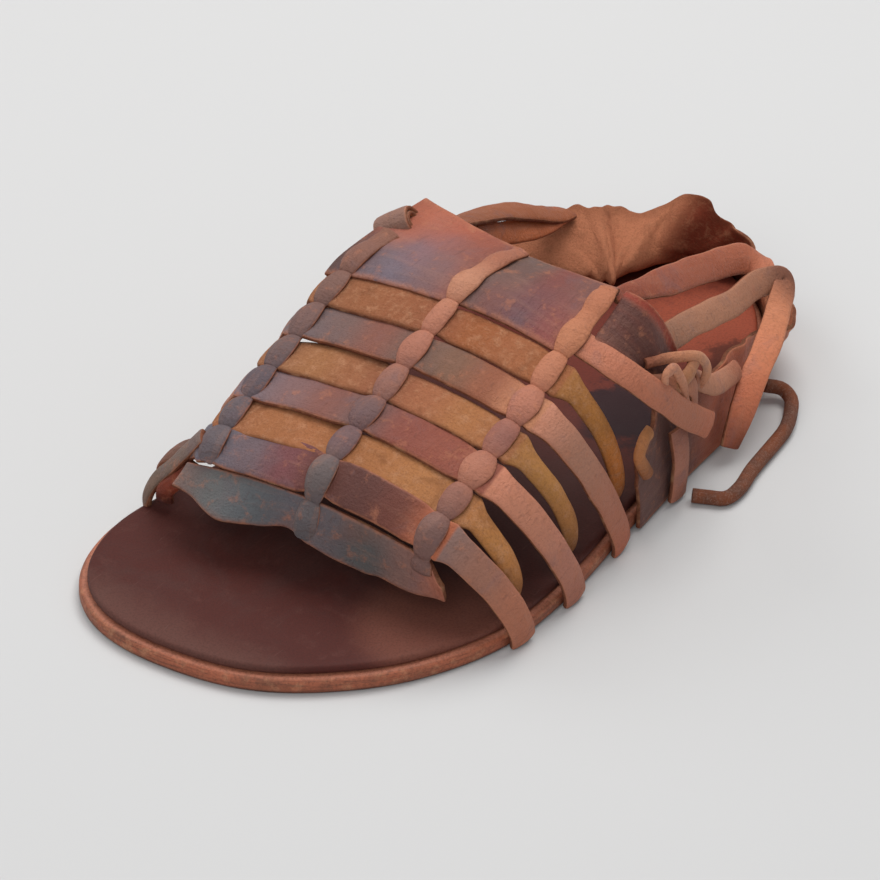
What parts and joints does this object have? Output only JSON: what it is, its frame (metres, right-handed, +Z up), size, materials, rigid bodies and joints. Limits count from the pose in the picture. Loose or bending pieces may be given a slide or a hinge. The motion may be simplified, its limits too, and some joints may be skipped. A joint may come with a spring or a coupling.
{
  "type": "woven leather sandal",
  "caption": "Open-toed left sandal with a flat layered leather sole, a woven strap vamp, a low heel cup and back straps, with a loose lace at its outer side.",
  "frame": {"origin": "On the floor plane at the middle of the sole's length and width, where the flat underside of the outsole rests.", "axes": "+X runs forward to the toe, +Y to the outer (little toe) side of the left foot, +Z up."},
  "size_m": [0.2695, 0.135, 0.0731],
  "materials": {
    "outsole": "worn sole leather, waxed edge",
    "insole": "dark smooth foot-worn leather",
    "upper": "grain and flesh side thongs, dry and worn",
    "heel_cup": "soft suede side out, creased",
    "upright_strap": "grain side, dry",
    "far_strap": "grain side, dry",
    "inner_strap": "grain side, dry",
    "loose_lace": "narrow rolled thong"
  },
  "bodies": {
    "root": {"outsole": "outsole", "insole": "insole", "upper": "upper", "heel_cup": "heel_cup", "upright_strap": "upright_strap", "far_strap": "far_strap", "inner_strap": "inner_strap", "loose_lace": "loose_lace"}
  },
  "joints": []
}
